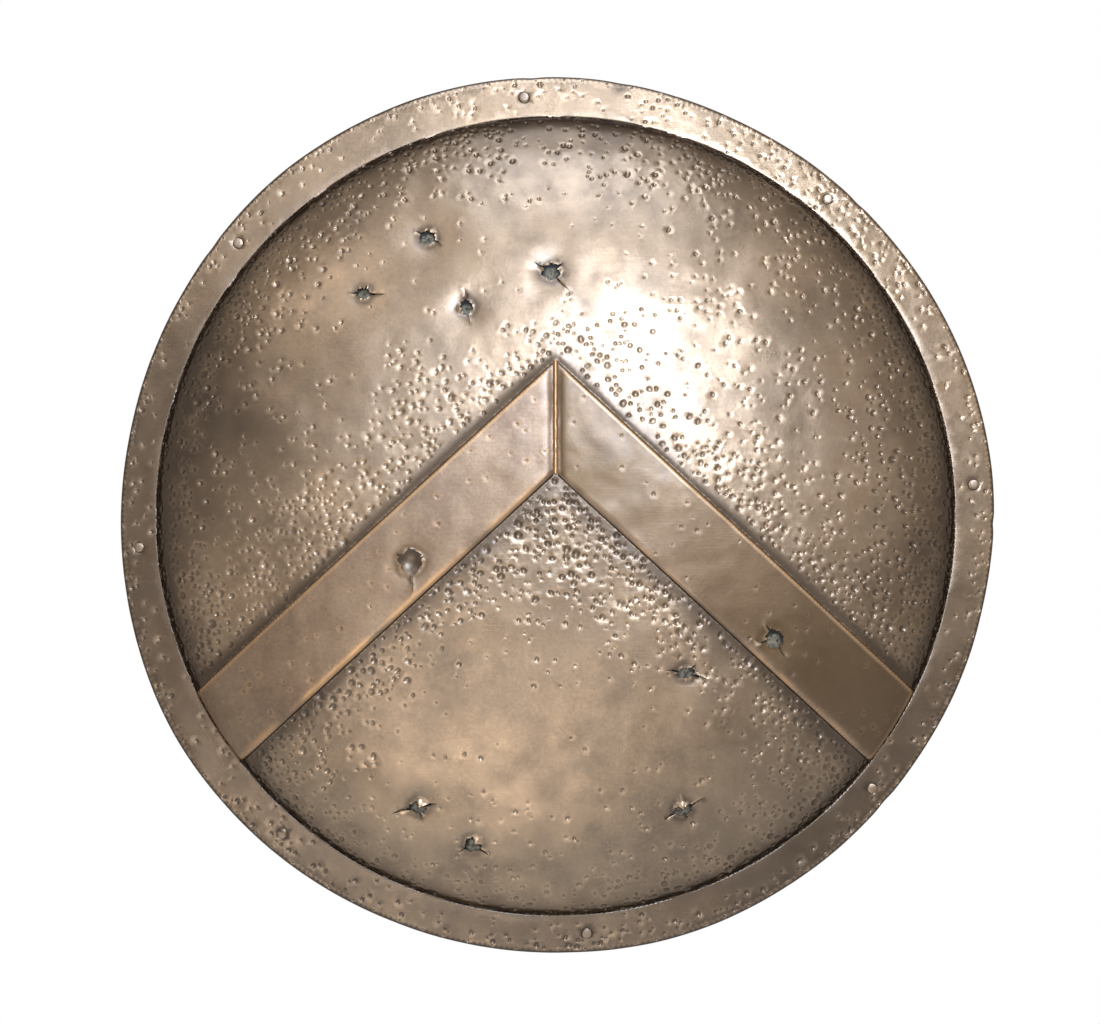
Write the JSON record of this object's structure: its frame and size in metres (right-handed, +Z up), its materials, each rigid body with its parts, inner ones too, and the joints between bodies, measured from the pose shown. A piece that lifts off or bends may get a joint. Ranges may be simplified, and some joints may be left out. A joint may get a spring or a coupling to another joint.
{
  "type": "hoplite aspis shield",
  "caption": "Round bronze-faced wooden shield with a broad flat rim and a raised chevron, a forearm band, a hand grip and cord rings in the bowl.",
  "frame": {"origin": "middle of the forearm's opening in the armband, on the shield's own axis", "axes": "+X to the right of someone facing the shield's front, +Y back toward the bearer, +Z up"},
  "size_m": [0.9, 0.109, 0.9],
  "materials": {
    "bronze": "aged, dented and pitted sheet bronze",
    "chevron_bronze": "aged sheet bronze, rubbed bright at the edges",
    "fittings": "cast and hammered bronze",
    "wood": "oiled poplar planks",
    "leather": "waxed brown leather"
  },
  "bodies": {
    "shield": {"bronze_face": "bronze", "rim_band": "bronze", "core_plank_1": "wood", "core_plank_2": "wood", "core_plank_3": "wood", "core_plank_4": "wood", "core_plank_5": "wood", "core_plank_6": "wood", "lining_upper_left": "leather", "lining_upper_right": "leather", "lining_lower_left": "leather", "lining_lower_right": "leather", "chevron_left_arm": "chevron_bronze", "chevron_right_arm": "chevron_bronze", "chevron_seam": "chevron_bronze", "rim_rivet_1": "bronze", "rim_rivet_2": "bronze", "rim_rivet_3": "bronze", "rim_rivet_4": "bronze", "rim_rivet_5": "bronze", "rim_rivet_6": "bronze", "rim_rivet_7": "bronze", "rim_rivet_8": "bronze", "armband": "fittings", "armband_sleeve": "leather", "upper_band": "fittings", "lower_band": "fittings", "armband_nail_1": "fittings", "armband_nail_2": "fittings", "armband_nail_3": "fittings", "armband_nail_4": "fittings", "band_nail_1": "fittings", "band_nail_2": "fittings", "band_nail_3": "fittings", "band_nail_4": "fittings", "cord_1_washer": "fittings", "cord_1_staple": "fittings", "cord_2_washer": "fittings", "cord_2_staple": "fittings", "cord_3_washer": "fittings", "cord_3_staple": "fittings", "cord_4_washer": "fittings", "cord_4_staple": "fittings", "cord_5_washer": "fittings", "cord_5_staple": "fittings", "grip_upper_washer": "fittings", "grip_upper_staple": "fittings", "grip_lower_washer": "fittings", "grip_lower_staple": "fittings"},
    "cord_ring_1": {"cord_1_ring": "fittings"},
    "cord_ring_2": {"cord_2_ring": "fittings"},
    "cord_ring_3": {"cord_3_ring": "fittings"},
    "cord_ring_4": {"cord_4_ring": "fittings"},
    "cord_ring_5": {"cord_5_ring": "fittings"},
    "grip": {"grip_upper_ring": "fittings", "grip_lower_ring": "fittings", "grip_strap": "leather"}
  },
  "joints": [
    {"name": "cord_ring_1_swing", "type": "hinge", "parent": "shield", "child": "cord_ring_1", "pos_m": [0.33915, 0.0125, -0.0017], "axis": [0.9351, 0.3545, 0], "range_deg": [-15, 150]},
    {"name": "cord_ring_2_swing", "type": "hinge", "parent": "shield", "child": "cord_ring_2", "pos_m": [0.23982, 0.0129, 0.23812], "axis": [0.9659, 0.2589, 0], "range_deg": [-25, 150]},
    {"name": "cord_ring_3_swing", "type": "hinge", "parent": "shield", "child": "cord_ring_3", "pos_m": [-0.23982, 0.0129, 0.23812], "axis": [0.9659, -0.2589, 0], "range_deg": [-25, 150]},
    {"name": "cord_ring_4_swing", "type": "hinge", "parent": "shield", "child": "cord_ring_4", "pos_m": [-0.23982, 0.0129, -0.24152], "axis": [0.9659, -0.2589, 0], "range_deg": [-2, 150]},
    {"name": "cord_ring_5_swing", "type": "hinge", "parent": "shield", "child": "cord_ring_5", "pos_m": [0.23982, 0.0129, -0.24152], "axis": [0.9659, 0.2589, 0], "range_deg": [-2, 150]},
    {"name": "grip_swing", "type": "hinge", "parent": "shield", "child": "grip", "pos_m": [-0.31951, 0.01059, 0], "axis": [0, 0, 1], "range_deg": [-20, 20]}
  ]
}
